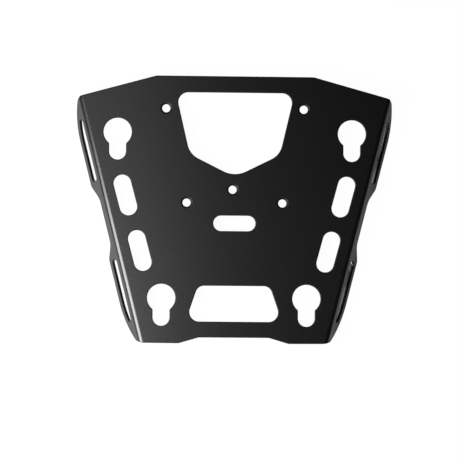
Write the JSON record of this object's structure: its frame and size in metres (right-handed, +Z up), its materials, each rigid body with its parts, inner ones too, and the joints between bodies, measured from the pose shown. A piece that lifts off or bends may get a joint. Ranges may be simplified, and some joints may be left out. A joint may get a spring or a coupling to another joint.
{
  "type": "motorcycle luggage rack",
  "caption": "Flat motorcycle luggage rack cut and folded from one black sheet, wider at one end, with keyholes, strap slots, openings and countersunk bolt holes.",
  "frame": {"origin": "under the middle of the rack, on the ground its side flanges stand on", "axes": "+X to the right side of the rack seen from above with its wide end forwards, +Y towards its wide end, +Z up out of the flat top"},
  "size_m": [0.3176, 0.268, 0.0195],
  "materials": {
    "black_powder_coat": "satin black powder coat with a very fine texture"
  },
  "bodies": {
    "root": {"rack_plate": "black_powder_coat"}
  },
  "joints": []
}
